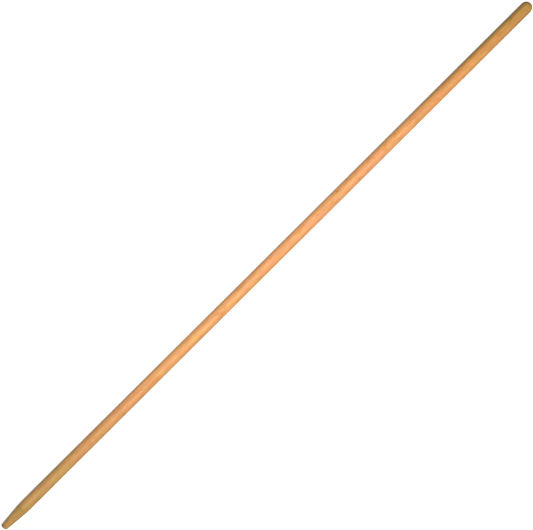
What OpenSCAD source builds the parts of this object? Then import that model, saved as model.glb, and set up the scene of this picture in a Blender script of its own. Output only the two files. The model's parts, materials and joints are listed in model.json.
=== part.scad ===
// A push-fit wooden pole, turned from one stick: a tapered plug with a small flat tip, a plain
// round shank, and a domed end. The origin is the centre of the flat tip, and the pole runs
// along +X from there to the top of the dome.

/* [Pole] */
// Overall length, from the flat tip to the top of the dome
pole_len = 1500; // [600:10:2400]
// Diameter of the plain round shank
shank_d = 25; // [20:0.5:34]

/* [Tapered plug] */
// Length over which the stick is turned down, from the tip to the full shank
taper_len = 70; // [55:1:120]
// Diameter that the straight sides of the taper would reach at the tip
tip_d = 14.5; // [11:0.5:19]
// Rounding of the edge around the flat tip
tip_edge_r = 4; // [0.5:0.25:5]
// Length of the easing on each side of the corner where the taper meets the shank
ease_len = 15; // [3:0.5:24]

/* [Domed end] */
// Height of the dome above the end of the straight shank
dome_h = 14; // [4:0.5:40]

/* [Hidden] */
$fa = 2;
$fs = 0.4;

// Steps along each round stretch of the outline
round_steps = 20;

shank_r = shank_d / 2;
tip_r = tip_d / 2;

// The outline is drawn about the middle of the pole's length
tip_end = -pole_len / 2;
dome_end = pole_len / 2;

// Half angle of the taper: its straight sides run from the tip to the corner with the shank
taper_angle = atan2(shank_r - tip_r, taper_len - ease_len);
// Radius that rounds off that corner, touching the shank ease_len past it
ease_r = ease_len / tan(taper_angle / 2);
// Radius of the flat left inside the rounded edge of the tip
tip_flat_r = tip_r + tip_edge_r * (tan(taper_angle) - 1 / cos(taper_angle));

// Points round part of an ellipse, from one angle to another
function arc(centre, half_w, half_h, from, to) = [
    for (i = [0:round_steps])
        let (a = from + (to - from) * i / round_steps)
            centre + [half_w * cos(a), half_h * sin(a)]
];

// Half of the pole's lengthwise section, out from its axis, with the pole's length along Y
half_section = concat(
    [[0, tip_end]],
    arc([tip_flat_r, tip_end + tip_edge_r], tip_edge_r, tip_edge_r, -90, -taper_angle),
    arc([shank_r - ease_r, tip_end + taper_len], ease_r, ease_r, -taper_angle, 0),
    arc([0, dome_end - dome_h], shank_r, dome_h, 0, 90)
);

module pole() {
    color([0.94, 0.68, 0.44])
        translate([pole_len / 2, 0, 0])
            rotate([0, 90, 0])
                rotate_extrude()
                    polygon(half_section);
}

pole();
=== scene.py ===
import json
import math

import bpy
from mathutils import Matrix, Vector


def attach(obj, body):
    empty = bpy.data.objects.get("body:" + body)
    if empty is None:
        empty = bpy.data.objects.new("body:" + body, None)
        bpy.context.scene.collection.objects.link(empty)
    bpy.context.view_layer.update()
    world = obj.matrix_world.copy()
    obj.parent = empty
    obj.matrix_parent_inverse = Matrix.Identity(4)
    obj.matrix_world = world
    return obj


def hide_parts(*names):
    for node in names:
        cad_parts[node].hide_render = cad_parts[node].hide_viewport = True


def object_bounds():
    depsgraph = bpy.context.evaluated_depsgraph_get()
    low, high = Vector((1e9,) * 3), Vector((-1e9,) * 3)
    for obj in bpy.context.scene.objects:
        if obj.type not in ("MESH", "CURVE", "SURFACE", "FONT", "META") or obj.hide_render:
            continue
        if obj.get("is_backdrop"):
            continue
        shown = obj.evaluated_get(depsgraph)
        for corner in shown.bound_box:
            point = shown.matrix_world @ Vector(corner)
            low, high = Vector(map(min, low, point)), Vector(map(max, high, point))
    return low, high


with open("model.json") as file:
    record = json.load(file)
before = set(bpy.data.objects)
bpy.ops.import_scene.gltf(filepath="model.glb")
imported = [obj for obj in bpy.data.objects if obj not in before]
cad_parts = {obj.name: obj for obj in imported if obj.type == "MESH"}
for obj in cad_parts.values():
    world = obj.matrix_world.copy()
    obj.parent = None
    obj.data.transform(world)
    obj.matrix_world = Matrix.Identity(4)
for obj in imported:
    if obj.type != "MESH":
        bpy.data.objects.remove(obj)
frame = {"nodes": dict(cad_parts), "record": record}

# %% [markdown]
# A wooden pole for a paint roller is one long stick, turned down at one end to push into a
# socket and rounded at the other to suit a hand. The design model gives its exact sizes. This
# lesson dresses it: a skin with the marks of the cutters and of use, and wood that is grown
# through the stick rather than painted on it.
#
# The first cell reads the sizes off the frame, so that nothing is typed in twice. The pole lies
# along X, with the centre of its flat tip at the origin.

MM = 0.001
cad_box = [list(corner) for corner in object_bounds()]
pole_len = cad_box[1][0]
floor_z = cad_box[0][2]

mounts = {mount["name"]: mount for mount in frame["record"]["mounts"]}
shank_r = mounts["shank"]["dims"]["r_mm"] * MM
shank_len = mounts["shank"]["dims"]["length_mm"] * MM
shank_start = mounts["shank"]["pos_m"][0] - shank_len / 2
shank_end = shank_start + shank_len
dome_h = pole_len - shank_end
print(f"pole {pole_len:.3f} m, shank radius {shank_r / MM:.1f} mm from {shank_start:.3f} to "
      f"{shank_end:.3f} m, dome {dome_h / MM:.1f} mm high")

# %% [markdown]
# The mounts don't tell the shape of the plug, but the design model's own skin does. Its points
# lie in rings round the axis. Two rings on the straight part of the taper give its slope. The
# slope gives the radius that the taper aims for at the tip and the place where it would meet
# the shank, and the ring round the flat tip gives how far the edge is rounded.

# %% The plug's sizes, read off the design model's skin
rings = sorted({(round(v.co.x, 5), round(math.hypot(v.co.y, v.co.z), 5))
                for v in frame["nodes"]["pole"].data.vertices})
flat_r = max(r for x, r in rings if x < 0.01 * MM)
low_ring = min(rings, key=lambda ring: abs(ring[0] - 0.2 * shank_start))
high_ring = min(rings, key=lambda ring: abs(ring[0] - 0.5 * shank_start))
slope = (high_ring[1] - low_ring[1]) / (high_ring[0] - low_ring[0])
tip_r = low_ring[1] - slope * low_ring[0]
taper_angle = math.atan(slope)
edge_r = (tip_r - flat_r) / (1 / math.cos(taper_angle) - slope)
corner_x = (shank_r - tip_r) / slope
ease_r = (shank_start - corner_x) / math.tan(taper_angle / 2)
print(f"taper from radius {tip_r / MM:.2f} mm, {math.degrees(taper_angle):.2f} degrees, edge "
      f"rounded {edge_r / MM:.2f} mm, flat radius {flat_r / MM:.2f} mm, corner at {corner_x:.4f} m")

# %% [markdown]
# The camera looks straight down on the pole, turned so that the pole runs from the lower left
# corner to the upper right one. A long lens keeps both ends at nearly the same scale. Its height
# follows from the width that has to fit in the frame, and it stands a little to one side of the
# pole, which sets the pole a little low in the frame.

# %% Camera
SLANT = math.radians(44.84)
POLE_IN_FRAME_WIDTHS = 1.395
TO_THE_SIDE = 1.4 * MM
LENS_MM = 85
SENSOR_MM = 36

scene = bpy.context.scene
seen_width = pole_len / POLE_IN_FRAME_WIDTHS
camera_data = bpy.data.cameras.new("camera")
camera_data.lens = LENS_MM
camera_data.sensor_width = SENSOR_MM
camera = bpy.data.objects.new("camera", camera_data)
camera.location = (pole_len / 2, TO_THE_SIDE, seen_width * LENS_MM / SENSOR_MM)
camera.rotation_euler = (0, 0, -SLANT)
scene.collection.objects.link(camera)
scene.camera = camera
print(f"the frame shows {seen_width:.3f} m across, from {camera.location.z:.2f} m up")

# %% [markdown]
# Both the pole's skin and its wood are made by nodes, and both are full of formulas. Wiring each
# sum by hand hides the formula, so a small helper class comes first. A Wire stands for a node's
# output, and adding or multiplying two wires adds the Math node that does it. The same class
# serves Geometry Nodes and shader nodes, because both have the Math and Noise nodes.

# %% Wires: formulas that build nodes
def plug(socket, value):
    """Gives a socket a wire or a plain value."""
    if isinstance(value, Wire):
        socket.id_data.links.new(value.socket, socket)
    else:
        socket.default_value = value


def add(tree, kind, wires=None, output=0, **options):
    """Adds a node, sets its options, fills its inputs, and gives back one of its outputs."""
    node = tree.nodes.new(kind)
    for option, value in options.items():
        setattr(node, option, value)
    for name, value in (wires or {}).items():
        plug(node.inputs[name], value)
    return Wire(node.outputs[output]) if node.outputs else None


class Wire:
    """A node's output, as a term in a formula."""

    def __init__(self, socket):
        self.socket = socket
        self.tree = socket.id_data

    def also(self, output):
        """Another output of the same node."""
        return Wire(self.socket.node.outputs[output])

    def maths(self, operation, *others):
        terms = dict(enumerate((self, *others)))
        return add(self.tree, "ShaderNodeMath", terms, operation=operation)

    def __add__(self, other):
        return self.maths("ADD", other)

    def __sub__(self, other):
        return self.maths("SUBTRACT", other)

    def __mul__(self, other):
        return self.maths("MULTIPLY", other)

    def __truediv__(self, other):
        return self.maths("DIVIDE", other)


def parts_of(vector):
    """The X, Y and Z of a vector, as three wires."""
    x = add(vector.tree, "ShaderNodeSeparateXYZ", {0: vector})
    return x, x.also("Y"), x.also("Z")


def joined(tree, x, y, z=0.0):
    """A vector made of three wires or numbers."""
    return add(tree, "ShaderNodeCombineXYZ", {"X": x, "Y": y, "Z": z})


def vector_maths(operation, first, second, output=0):
    """A sum on whole vectors."""
    wires = {0: first, 1: second}
    return add(first.tree, "ShaderNodeVectorMath", wires, output, operation=operation)


def fade(value, start, end, low=0.0, high=1.0):
    """Goes smoothly from low to high as the value goes from start to end."""
    wires = {"Value": value, "From Min": start, "From Max": end, "To Min": low, "To Max": high}
    return add(value.tree, "ShaderNodeMapRange", wires, interpolation_type="SMOOTHSTEP")


def hump(value, middle, half_width):
    """1 at the middle, and smoothly down to 0 at half_width to either side."""
    return fade((value - middle).maths("ABSOLUTE"), 0.0, half_width, 1.0, 0.0)


def cloud(place, stretch, seed, detail=2.0, roughness=0.5):
    """Soft random values about 0.5. Stretch is how many lumps there are in a metre, each way."""
    wires = {"Vector": vector_maths("MULTIPLY", place, stretch), "W": seed, "Scale": 1.0,
             "Detail": detail, "Roughness": roughness}
    return add(place.tree, "ShaderNodeTexNoise", wires, noise_dimensions="4D")


# %% [markdown]
# Some marks both dent the skin and darken the wood, so each is one formula that the skin and the
# wood share, and the dent and the stain can't come apart.
#
# - Chatter: where the cutter bounced on the taper, it left short cross grooves on one side, in
#   two places: fine ones near the tip, and a few wider ones where the taper is half way down.
# - Pin knot: a tiny twig that grew through the stick, about two thirds of the way up.
# - Knocks: small dings from use and from the bundle, scattered along the whole stick.

# %% Marks shared by the skin and the wood
CHATTER_SIDE = (0.0, 0.80, 0.60)
FINE_CHATTER = {"middle": 0.0155, "half_long": 0.0100, "pitch": 0.0034, "starts": 0.28}
WIDE_CHATTER = {"middle": 0.0545, "half_long": 0.0085, "pitch": 0.0047, "starts": -0.05}

KNOT_X = 0.955
KNOT_SIDE = (0.0, 0.5, 0.87)
KNOT_HALF_LONG = 0.0030
KNOT_HALF_WIDE = 0.0019

KNOCKS_PER_METRE = (26.0, 80.0, 80.0)
KNOCK_SHARE = 0.2
KNOCK_SIZE = 0.16


def facing(place, side):
    """How far a point lies towards a side, in shank radii: 1 straight out, 0 at right angles."""
    return vector_maths("DOT_PRODUCT", place, side, "Value") / shank_r


def grooves(place, middle, half_long, pitch, starts):
    """A set of cross grooves on one side of the stick, from 0 to 1."""
    along = parts_of(place)[0]
    wander = cloud(place, (60.0, 160.0, 160.0), 3.0) - 0.5
    wave = ((along - middle) * (2 * math.pi / pitch) + wander * 1.6).maths("COSINE")
    patch = fade(cloud(place, (50.0, 120.0, 120.0), 5.0), 0.22, 0.44)
    one_side = fade(facing(place, CHATTER_SIDE), starts, starts + 0.25)
    return fade(wave, 0.35, 1.0) * patch * one_side * hump(along, middle, half_long)


def chatter(place):
    """Both sets of cross grooves on the taper."""
    return grooves(place, **FINE_CHATTER) + grooves(place, **WIDE_CHATTER)


def knot_distance(place):
    """How far a point is from the pin knot's middle: 1 at the knot's own edge."""
    along, across, up = parts_of(place)
    side = (across * KNOT_SIDE[2] - up * KNOT_SIDE[1]) / KNOT_HALF_WIDE
    off = (along - KNOT_X) / KNOT_HALF_LONG
    far_side = fade(facing(place, KNOT_SIDE), 0.2, 0.5, 30.0, 0.0)
    return (side * side + off * off).maths("SQRT") + far_side


def knocks(place):
    """Scattered dings, from 0 to 1 at the deepest point of each."""
    wires = {"Vector": vector_maths("MULTIPLY", place, KNOCKS_PER_METRE), "Scale": 1.0}
    ding = add(place.tree, "ShaderNodeTexVoronoi", wires, "Distance")
    lot = parts_of(ding.also("Color"))[0]
    chosen = fade(lot, KNOCK_SHARE, KNOCK_SHARE + 0.01, 1.0, 0.0)
    return fade(ding, 0.0, KNOCK_SIZE, 1.0, 0.0) * chosen


# %% [markdown]
# The skin is turned, as on a lathe, because every part of this object is round. The Spin or the
# Screw modifier could do it, but Geometry Nodes keep every size open as a named input and let
# the marks be cut afterwards. The tree draws half of the pole's outline, lays a flat sheet of
# faces along it and rolls the sheet round the axis. It does that three times: with fine faces
# on the plug and the dome, where the shape changes, and with longer ones on the plain shank.
#
# The sheet keeps a flat map of itself, cut into rows, so that a baked picture of the wood uses
# the whole square and stays sharp. Without it, a stick this long wastes nearly all of it. The map
# is called OFBake because that is the name the export looks for when it bakes.

# %% The tree and its named sizes
lathe = bpy.data.node_groups.new("turned pole", "GeometryNodeTree")
lathe.is_modifier = True
SIZES = {
    "Plug corner": corner_x, "Shank start": shank_start, "Shank end": shank_end,
    "Shank radius": shank_r, "Tip radius": tip_r, "Tip edge radius": edge_r,
    "Easing radius": ease_r, "Dome height": dome_h, "Plug step": 0.55 * MM,
    "Shank step": 1.3 * MM, "Dome step": 0.5 * MM, "Sanded off": 0.02 * MM,
    "Unevenness": 0.08 * MM, "Chatter depth": 0.12 * MM, "Knock depth": 0.22 * MM,
    "Knot depth": 0.20 * MM, "Sanded flats": 0.30 * MM,
}
inputs = {}
for name, value in SIZES.items():
    inputs[name] = lathe.interface.new_socket(name, in_out="INPUT", socket_type="NodeSocketFloat")
inputs["Sides"] = lathe.interface.new_socket("Sides", in_out="INPUT", socket_type="NodeSocketInt")
inputs["Seed"] = lathe.interface.new_socket("Seed", in_out="INPUT", socket_type="NodeSocketFloat")
inputs["Wood"] = lathe.interface.new_socket(
    "Wood", in_out="INPUT", socket_type="NodeSocketMaterial")
lathe.interface.new_socket("Pole", in_out="OUTPUT", socket_type="NodeSocketGeometry")
given = lathe.nodes.new("NodeGroupInput")
size = {name: Wire(given.outputs[name]) for name in inputs}
print(len(inputs), "named inputs")

# %% [markdown]
# The outline of the plug and shank has four corners: the middle of the flat tip, the edge of
# the tip, the place where the taper would meet the shank, and the end of the shank. A short line
# of four points is moved to them, and Fillet Curve rounds the two middle ones, each by its own
# radius. The dome is a quarter of a circle, stretched to its height.

# %% Half of the outline
FILLET_STEPS = 24


def by_number(kind, choices):
    """For each point, the choice that has the point's own number."""
    node = lathe.nodes.new("GeometryNodeIndexSwitch")
    node.data_type = kind
    for _ in choices[2:]:
        node.index_switch_items.new()
    plug(node.inputs["Index"], add(lathe, "GeometryNodeInputIndex"))
    for i, choice in enumerate(choices):
        plug(node.inputs[i + 1], choice)
    return Wire(node.outputs[0])


corners = [
    (0.0, 0.0, 0.0),
    joined(lathe, 0.0, size["Tip radius"]),
    joined(lathe, size["Plug corner"], size["Shank radius"]),
    joined(lathe, size["Shank end"], size["Shank radius"]),
]
roundings = [0.0, size["Tip edge radius"], size["Easing radius"], 0.0]
line = add(lathe, "GeometryNodeMeshLine", {"Count": len(corners)})
line = add(lathe, "GeometryNodeSetPosition",
           {"Geometry": line, "Position": by_number("VECTOR", corners)})
line = add(lathe, "GeometryNodeMeshToCurve", {"Mesh": line})
stick = add(lathe, "GeometryNodeFilletCurve",
            {"Curve": line, "Count": FILLET_STEPS, "Radius": by_number("FLOAT", roundings)},
            mode="POLY")
quarter = add(lathe, "GeometryNodeCurveArc",
              {"Resolution": 4 * FILLET_STEPS, "Radius": 1.0, "Start Angle": math.pi / 2,
               "Sweep Angle": -math.pi / 2})
dome = add(lathe, "GeometryNodeTransform",
           {"Geometry": quarter, "Translation": joined(lathe, size["Shank end"], 0.0),
            "Scale": joined(lathe, size["Dome height"], size["Shank radius"], 1.0)})

# %% [markdown]
# Now the outline is rolled. Each point of the sheet has two numbers from 0 to 1: how far along
# it lies, which picks a place on the outline, and how far round, which gives the angle. The map
# uses the same two numbers. Where the sheet is cut into rows, each face needs one row for all
# its corners, so the row is worked out on the face.

# %% Rolling the outline round the axis
MAP_GAP = 0.004
MAP_ROW = 0.196


def rolled(outline, start, stop, step, rows, left, bottom, wide):
    """A stretch of the outline, turned round the axis, with its place on the flat map."""
    steps = (stop - start) / step
    sheet = add(lathe, "GeometryNodeMeshGrid",
                {"Size X": 1.0, "Size Y": 1.0, "Vertices X": steps + 1.0,
                 "Vertices Y": size["Sides"] + 1.0})
    along, round_axis, _ = parts_of(sheet.also("UV Map"))
    spot = add(lathe, "GeometryNodeSampleCurve",
               {"Curves": outline, "Length": along * (stop - start) + start},
               "Position", mode="LENGTH", use_all_curves=True)
    x, radius, _ = parts_of(spot)
    angle = round_axis * (-2 * math.pi)
    place = joined(lathe, x, radius * angle.maths("COSINE"), radius * angle.maths("SINE"))
    mesh = add(lathe, "GeometryNodeSetPosition", {"Geometry": sheet, "Position": place})
    in_rows = along * float(rows)
    row = add(lathe, "GeometryNodeFieldOnDomain", {"Value": in_rows}, domain="FACE")
    row = row.maths("FLOOR")
    map_x = (in_rows - row) * wide + left
    map_y = (row + round_axis) * MAP_ROW + row * MAP_GAP + bottom
    return add(lathe, "GeometryNodeStoreNamedAttribute",
               {"Geometry": mesh, "Name": "OFBake", "Value": joined(lathe, map_x, map_y)},
               data_type="FLOAT2", domain="CORNER")


shank_length = size["Shank end"] - size["Shank start"]
stick_length = add(lathe, "GeometryNodeCurveLength", {"Curve": stick})
dome_length = add(lathe, "GeometryNodeCurveLength", {"Curve": dome})
plug_length = stick_length - shank_length
SHANK_ROWS = 4
TOP_ROW = SHANK_ROWS * (MAP_ROW + MAP_GAP) + MAP_GAP / 2
strips = [
    rolled(stick, 0.0, plug_length, size["Plug step"], 1, MAP_GAP, TOP_ROW, 0.64),
    rolled(stick, plug_length, stick_length, size["Shank step"], SHANK_ROWS,
           MAP_GAP, MAP_GAP / 2, 1 - 2 * MAP_GAP),
    rolled(dome, 0.0, dome_length, size["Dome step"], 1, 0.64 + 2 * MAP_GAP, TOP_ROW, 0.34),
]
together = lathe.nodes.new("GeometryNodeJoinGeometry")
for strip in strips:
    lathe.links.new(strip.socket, together.inputs[0])
skin = add(lathe, "GeometryNodeMergeByDistance",
           {"Geometry": Wire(together.outputs[0]), "Distance": 0.002 * MM})

# %% [markdown]
# The dome was rounded by hand against a sanding belt, so it has a few faint flats. A flat is a
# plane that lies just under the surface: whatever stands above the plane is pressed back onto
# it. After that, the marks and a slow unevenness push the skin in along its own normal. Nothing
# is ever pushed out, so the pole still passes through a hole of its own size.

# %% Sanded flats on the dome, and marks along the stick
FLATS = [(0.42, -0.90, 0.10), (0.80, 0.45, 0.40), (0.70, -0.35, 0.62), (0.62, 0.30, -0.72),
         (0.86, -0.42, -0.28)]


def flattened(mesh, direction, depth):
    """Presses what stands above a plane near the dome's surface back onto the plane."""
    length = math.hypot(*direction)
    out = [part / length for part in direction]
    reach = size["Dome height"] * out[0]
    sideways = size["Shank radius"] * math.hypot(out[1], out[2])
    summit = (reach * reach + sideways * sideways).maths("SQRT") + size["Shank end"] * out[0]
    place = add(lathe, "GeometryNodeInputPosition")
    height = vector_maths("DOT_PRODUCT", place, out, "Value")
    over = (height - (summit - depth)).maths("MAXIMUM", 0.0)
    moved = joined(lathe, over * -out[0], over * -out[1], over * -out[2])
    return add(lathe, "GeometryNodeSetPosition", {"Geometry": mesh, "Offset": moved})


for direction in FLATS:
    skin = flattened(skin, direction, size["Sanded flats"])

place = add(lathe, "GeometryNodeInputPosition")
along = parts_of(place)[0]
uneven = cloud(place, (4.0, 45.0, 45.0), size["Seed"]) * size["Unevenness"]
bruise = fade(cloud(place, (260.0, 260.0, 260.0), size["Seed"] + 1.0), 0.56, 0.72)
bruised_tip = bruise * fade(along, 0.0, 6 * MM, 1.0, 0.0)
depth = (size["Sanded off"] + uneven + chatter(place) * size["Chatter depth"]
         + (knocks(place) + bruised_tip) * size["Knock depth"]
         + fade(knot_distance(place), 0.0, 1.5, 1.0, 0.0) * size["Knot depth"])
normal = add(lathe, "GeometryNodeInputNormal")
pushed = vector_maths("MULTIPLY", normal, joined(lathe, depth * -1.0, depth * -1.0, depth * -1.0))
skin = add(lathe, "GeometryNodeSetPosition", {"Geometry": skin, "Offset": pushed})
skin = add(lathe, "GeometryNodeSetShadeSmooth", {"Geometry": skin})
skin = add(lathe, "GeometryNodeRealizeInstances", {"Geometry": skin})
skin = add(lathe, "GeometryNodeSetMaterial", {"Geometry": skin, "Material": size["Wood"]})
plug(lathe.nodes.new("NodeGroupOutput").inputs[0], skin)
print(len(lathe.nodes), "nodes in the turned pole")

# %% [markdown]
# The wood is a block of colour that fills all of space, and the pole is cut out of it. That is
# why end grain shows on the tip and the dome with no extra work. Wood like this has a few layers
# of pattern, each at its own scale:
#
# - growth rings, which are cylinders round the tree's middle, far outside this thin stick, and
#   show as slow lines along it;
# - fibres, which are much longer than they are wide;
# - pores and small flecks, as short dark dashes along the grain;
# - broad patches, pinker and yellower, from one part of the stick to the next.
#
# Object coordinates carry all of them, because the pole's mesh is in metres and in place.

# %% The wood's colours and its grain
EARLY_WOOD = (0.79, 0.365, 0.130, 1)
LATE_WOOD = (0.66, 0.285, 0.092, 1)
PINK_WOOD = (0.82, 0.340, 0.140, 1)
YELLOW_WOOD = (0.73, 0.385, 0.112, 1)
OCHRE_WOOD = (0.70, 0.265, 0.060, 1)
PORE = (0.33, 0.15, 0.055, 1)
KNOT_WOOD = (0.52, 0.19, 0.055, 1)
STAIN = (0.22, 0.13, 0.05, 1)
BURNT = (0.46, 0.13, 0.03, 1)

PITH = (0.0, -0.016, -0.031)
RING_WIDTH = 0.0021


def mixed(tree, factor, first, second, blend="MIX"):
    """A mix of two colours. A Mix node's colours are its inputs 6 and 7, and its output 2."""
    wires = {0: factor, 6: first, 7: second}
    return add(tree, "ShaderNodeMix", wires, 2, data_type="RGBA", blend_type=blend)


def ring_phase(place):
    """How far through a year's growth a point is: 0 in spring, nearly 1 in late autumn."""
    along, across, up = parts_of(place)
    lean = (cloud(place, (2.6, 6.0, 6.0), 11.0, 1.0) - 0.5) * 0.012
    ripple = (cloud(place, (22.0, 90.0, 90.0), 12.0, 3.0) - 0.5) * 0.0016
    side = across - PITH[1] + along * 0.004
    rise = up - PITH[2] + lean
    near_knot = fade(knot_distance(place), 0.5, 4.0, 0.0016, 0.0)
    from_pith = (side * side + rise * rise).maths("SQRT") + ripple + near_knot
    return (from_pith / RING_WIDTH).maths("FRACT")


def round_the_knot(place):
    """The place to read the fibres at, so that they part and flow round the pin knot."""
    along, across, up = parts_of(place)
    side = across * KNOT_SIDE[2] - up * KNOT_SIDE[1]
    squeeze = side * fade(knot_distance(place), 0.6, 4.5, -0.75, 0.0)
    return joined(place.tree, along, across + squeeze * KNOT_SIDE[2], up - squeeze * KNOT_SIDE[1])


# %% [markdown]
# The ends of the stick are painted darker than its middle, as painted shade of the light falling
# off towards both ends, and their tone shifts as well: the tip turns greener and the dome yellower,
# each over nearly half a metre. The last fifth of a metre is painted darker still, more painted
# shade, and the side away from the key light is painted darker there, as painted shade of that
# rim. A smudge sits on the tip itself, and the end grain is darker with its rings shown.

# %% The wood material
# Tints that shift the tone and paint shade on the ends, and paint shade on one side near the dome.
TIP_TINT_AND_SHADE = (0.80, 1.00, 0.86, 1)
DOME_TINT_AND_SHADE = (1.00, 0.97, 0.70, 1)
DOME_END_TINT_AND_SHADE = (0.74, 0.87, 0.72, 1)
SHADED_SIDE_TINT = (0.74, 0.84, 0.72, 1)
SHADED_SIDE_DIRECTION = (0.0, 0.95, 0.31)
TIP_REACH = 0.50
DOME_REACH = 0.45
DARKEST_END_REACH = 0.20

wood = bpy.data.materials.new("turned hardwood")
wood.use_nodes = True
grain = wood.node_tree
grain.nodes.clear()
place = add(grain, "ShaderNodeTexCoord", output="Object")
along, across, up = parts_of(place)

year = ring_phase(place)
late = fade(year, 0.35, 0.92) * fade(year, 0.94, 1.0, 1.0, 0.0)
late = late * fade(cloud(place, (5.0, 60.0, 60.0), 13.0), 0.3, 0.65, 0.35, 1.0)
colour = mixed(grain, late * 0.75, EARLY_WOOD, LATE_WOOD)
for seed, lumps in ((14.0, (14.0, 40.0, 40.0)), (21.0, (70.0, 120.0, 120.0))):
    patch = cloud(place, lumps, seed, 3.0)
    colour = mixed(grain, fade(patch, 0.50, 0.64) * 0.7, colour, PINK_WOOD)
    colour = mixed(grain, fade(patch, 0.48, 0.34) * 0.7, colour, YELLOW_WOOD)
ochre = fade(cloud(place, (55.0, 110.0, 110.0), 22.0, 2.0), 0.55, 0.70)
colour = mixed(grain, ochre * 0.70, colour, OCHRE_WOOD)

flow = round_the_knot(place)
fibre = cloud(flow, (14.0, 1500.0, 1500.0), 15.0, 4.0, 0.62)
streak = cloud(flow, (3.5, 300.0, 300.0), 16.0, 2.0)
dash = cloud(flow, (150.0, 2300.0, 2300.0), 17.0, 1.0)
fleck = cloud(flow, (210.0, 900.0, 900.0), 18.0, 1.0)
pores = fade(dash, 0.64, 0.72) * fade(year, 0.0, 0.6, 1.0, 0.45)
flecks = fade(fleck, 0.63, 0.72)
light_and_dark = fade(fibre, 0.30, 0.70, 0.87, 1.07) * fade(streak, 0.3, 0.7, 0.93, 1.05)
blotch = fade(cloud(place, (45.0, 130.0, 130.0), 19.0, 3.0), 0.3, 0.7, 0.92, 1.06)
colour = mixed(grain, pores * 0.55, colour, PORE)
colour = mixed(grain, flecks * 0.28, colour, LATE_WOOD)

knot = knot_distance(place)
colour = mixed(grain, fade(knot, 1.15, 0.85) * 0.65, colour, KNOT_WOOD)
knot_dark = hump(knot, 1.0, 0.28) * 0.40 + fade(knot, 0.40, 0.05) * 0.55
colour = mixed(grain, knot_dark, colour, BURNT)
colour = mixed(grain, grooves(place, **FINE_CHATTER) * 0.8, colour, STAIN)
colour = mixed(grain, grooves(place, **WIDE_CHATTER) * 0.9, colour, BURNT)
dirt = knocks(place) * 0.3
smudge = fade(cloud(place, (70.0, 150.0, 150.0), 20.0, 3.0), 0.50, 0.70)
tip_smudge = smudge * fade(along, 0.0, 0.026, 0.60, 0.0)
colour = mixed(grain, (dirt + tip_smudge).maths("MINIMUM", 0.85), colour, STAIN)

# Painted shade: both ends are darkened for the light falling off there, and the tip is shifted
# greener and the dome yellower.
colour = mixed(grain, fade(along, TIP_REACH, 0.0), colour, TIP_TINT_AND_SHADE, "MULTIPLY")
colour = mixed(grain, fade(along, pole_len - DOME_REACH, pole_len), colour, DOME_TINT_AND_SHADE, "MULTIPLY")
# Painted shade: the last fifth of a metre at the dome is darkened further.
dome_end_shade = fade(along, pole_len - DARKEST_END_REACH, pole_len)
colour = mixed(grain, dome_end_shade, colour, DOME_END_TINT_AND_SHADE, "MULTIPLY")
# Painted shade: the side away from the key light is darkened near the dome end.
painted_side_shade = fade(along, pole_len - DOME_REACH, pole_len - DARKEST_END_REACH) * fade(
    facing(place, SHADED_SIDE_DIRECTION), 0.50, 1.0)
colour = mixed(grain, painted_side_shade, colour, SHADED_SIDE_TINT, "MULTIPLY")
outward = add(grain, "ShaderNodeTexCoord", output="Normal")
end_grain = fade(parts_of(outward)[0].maths("ABSOLUTE"), 0.35, 1.0)
ring_lines = (late - 0.4) * end_grain * -0.35 + 1.0
shade = light_and_dark * blotch * ring_lines * fade(end_grain, 0.0, 1.0, 1.0, 0.85)
colour = mixed(grain, 1.0, colour, joined(grain, shade, shade, shade), "MULTIPLY")

# %% [markdown]
# Bare sanded wood is nearly matt. Its dense late wood is a little smoother than its early wood.
# The pores and fibres are too fine for the mesh, so they are the one thing left to a bump, a few
# hundredths of a millimetre deep. The fine turning lines of the plug are in it too. A weak sheen
# stands for the fuzz of raised fibres.

# %% Gloss and fine relief
TURNING_PITCH = 0.00085
FUZZ = 0.30
FUZZ_TINT = (0.75, 0.97, 0.90, 1)

turned = (along * (2 * math.pi / TURNING_PITCH)).maths("SINE") * fade(along, 0.060, 0.078, 0.012, 0.0)
relief = (fibre * 0.05 - pores * 0.06 + late * 0.02 + turned) * MM
bump = add(grain, "ShaderNodeBump", {"Strength": 0.8, "Distance": 1.0, "Height": relief}, "Normal")
dullness = fade(fibre, 0.25, 0.75, 0.50, 0.64) - late * 0.05 + pores * 0.15
finish = add(grain, "ShaderNodeBsdfPrincipled",
             {"Base Color": colour, "Roughness": dullness, "Normal": bump, "IOR": 1.45,
              "Sheen Weight": FUZZ, "Sheen Roughness": 0.5, "Sheen Tint": FUZZ_TINT})
add(grain, "ShaderNodeOutputMaterial", {"Surface": finish})
print(len(grain.nodes), "nodes in the wood, turning lines every", TURNING_PITCH / MM, "mm")

# %% [markdown]
# The tree needs an object to run on. An empty mesh will do, because the tree draws everything
# itself. The inputs are set by their identifiers before the first evaluation. Then the result
# is taken as a plain mesh, and the modifier goes.

# %% Turning the pole
carrier = bpy.data.objects.new("lathe bed", bpy.data.meshes.new("lathe bed"))
scene.collection.objects.link(carrier)
modifier = carrier.modifiers.new("turned pole", "NODES")
modifier.node_group = lathe
settings = dict(SIZES, Sides=72, Seed=7.0, Wood=wood)
for name, value in settings.items():
    modifier[inputs[name].identifier] = value

ready = carrier.evaluated_get(bpy.context.evaluated_depsgraph_get())
mesh = bpy.data.meshes.new_from_object(ready)
pole = bpy.data.objects.new("turned_pole", mesh)
scene.collection.objects.link(pole)
bpy.data.objects.remove(carrier)
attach(pole, "root")
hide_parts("pole")
triangles = sum(len(face.vertices) - 2 for face in mesh.polygons)
print(len(mesh.vertices), "points,", triangles, "triangles, maps:", mesh.uv_layers.keys(),
      "materials:", mesh.materials.keys())

# %% [markdown]
# A plain white floor and plain soft light. The floor glows a little to the camera, as a light
# table does, so that it stays clean white out to the corners and only a faint shadow is left
# beside the pole. To every other ray it is a dull grey, so that it throws little light back up
# and the round sides of the pole turn dark at their rims, which is what makes the stick look
# round and not flat.

# %% Floor
FLOOR_HALF = 40
FLOOR_GLOW = 0.74

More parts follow.
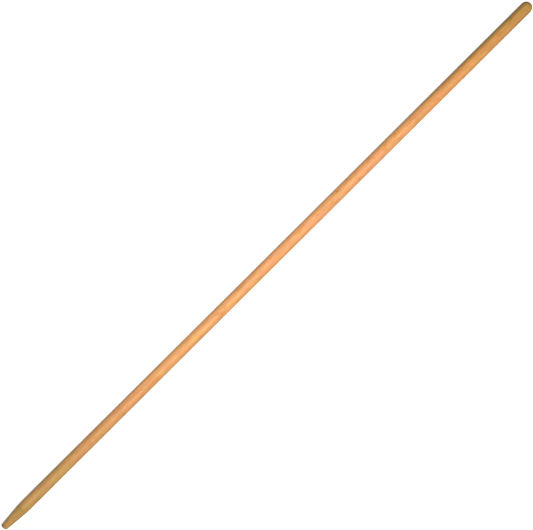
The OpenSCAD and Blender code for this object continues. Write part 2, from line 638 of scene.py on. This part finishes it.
floor_mesh = bpy.data.meshes.new("floor")
floor_mesh.from_pydata(
    [(-FLOOR_HALF, -FLOOR_HALF, floor_z), (FLOOR_HALF, -FLOOR_HALF, floor_z),
     (FLOOR_HALF, FLOOR_HALF, floor_z), (-FLOOR_HALF, FLOOR_HALF, floor_z)],
    [], [(0, 1, 2, 3)])
floor = bpy.data.objects.new("floor", floor_mesh)
scene.collection.objects.link(floor)
floor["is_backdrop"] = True

paper = bpy.data.materials.new("white paper")
paper.use_nodes = True
sheet = paper.node_tree
sheet.nodes.clear()
to_camera = add(sheet, "ShaderNodeLightPath", output="Is Camera Ray")
seen = add(sheet, "ShaderNodeBsdfPrincipled",
           {"Base Color": (0.9, 0.9, 0.9, 1), "Roughness": 0.9, "Specular IOR Level": 0.1,
            "Emission Color": (1, 1, 1, 1), "Emission Strength": FLOOR_GLOW})
bounced = add(sheet, "ShaderNodeBsdfDiffuse", {"Color": (0.22, 0.22, 0.22, 1)})
either = add(sheet, "ShaderNodeMixShader", {0: to_camera, 1: bounced, 2: seen})
add(sheet, "ShaderNodeOutputMaterial", {"Surface": either})
floor_mesh.materials.append(paper)
print(f"floor at z = {floor_z / MM:.1f} mm")

# %% [markdown]
# One soft box hangs over the middle of the pole and to one side, turned a little, so the light
# fades towards both ends and one long rim is darker than the other. A small, cool and much weaker
# box fills in from the other side. The sky gives the rest, evenly and weakly.

# %% Light
BOX_AT = 0.55
BOX_OVER = 1.40
BOX_ASIDE = 0.55
BOX_LONG = 1.50
BOX_TURNED = math.radians(-28)
BOX_WIDE = 0.9
BOX_WATTS = 28
BOX_COLOUR = (1.0, 0.94, 0.88)
FILL_AT = 0.45
FILL_OVER = 0.55
FILL_ASIDE = 0.60
FILL_LONG = 0.40
FILL_WATTS = 2.0
FILL_COLOUR = (0.80, 0.92, 1.0)
SKY_STRENGTH = 0.20


def soft_box(name, share, over, aside, long, wide, watts, colour, turned=0.0):
    """A soft box over a share of the pole's length, aimed at it and hidden from the camera."""
    data = bpy.data.lights.new(name, "AREA")
    data.shape = "RECTANGLE"
    data.size = long
    data.size_y = wide
    data.energy = watts
    data.color = colour
    lamp = bpy.data.objects.new(name, data)
    lamp.location = (pole_len * share, aside, over)
    lamp.rotation_euler = (math.atan2(-aside, over), 0, turned)
    lamp.visible_camera = False
    scene.collection.objects.link(lamp)


soft_box("key", BOX_AT, BOX_OVER, -BOX_ASIDE, BOX_LONG, BOX_WIDE, BOX_WATTS, BOX_COLOUR, BOX_TURNED)
soft_box("fill", FILL_AT, FILL_OVER, FILL_ASIDE, FILL_LONG, FILL_LONG, FILL_WATTS, FILL_COLOUR)

world = bpy.data.worlds.new("pale sky")
scene.world = world
world.use_nodes = True
air = world.node_tree
air.nodes.clear()
to_camera = add(air, "ShaderNodeLightPath", output="Is Camera Ray")
sky = add(air, "ShaderNodeBackground", {"Color": (1, 1, 1, 1), "Strength": SKY_STRENGTH})
wall = add(air, "ShaderNodeBackground", {"Color": (1, 1, 1, 1), "Strength": 1.0})
either = add(air, "ShaderNodeMixShader", {0: to_camera, 1: sky, 2: wall})
add(air, "ShaderNodeOutputWorld", {"Surface": either})
scene.view_settings.view_transform = "Standard"
print("key", BOX_WATTS, "W, fill", FILL_WATTS, "W, sky", SKY_STRENGTH)

# %% [markdown]
# Last, the sizes. The dressed pole has to lie inside the design model's box, because the marks
# only ever cut inwards.

# %% Box before and after, and the end
dressed_box = [list(corner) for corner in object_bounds()]
for name, before, after in zip("xyz", zip(*cad_box), zip(*dressed_box)):
    print(f"{name}: design {before[0] / MM:.3f} to {before[1] / MM:.3f} mm, "
          f"dressed {after[0] / MM:.3f} to {after[1] / MM:.3f} mm")
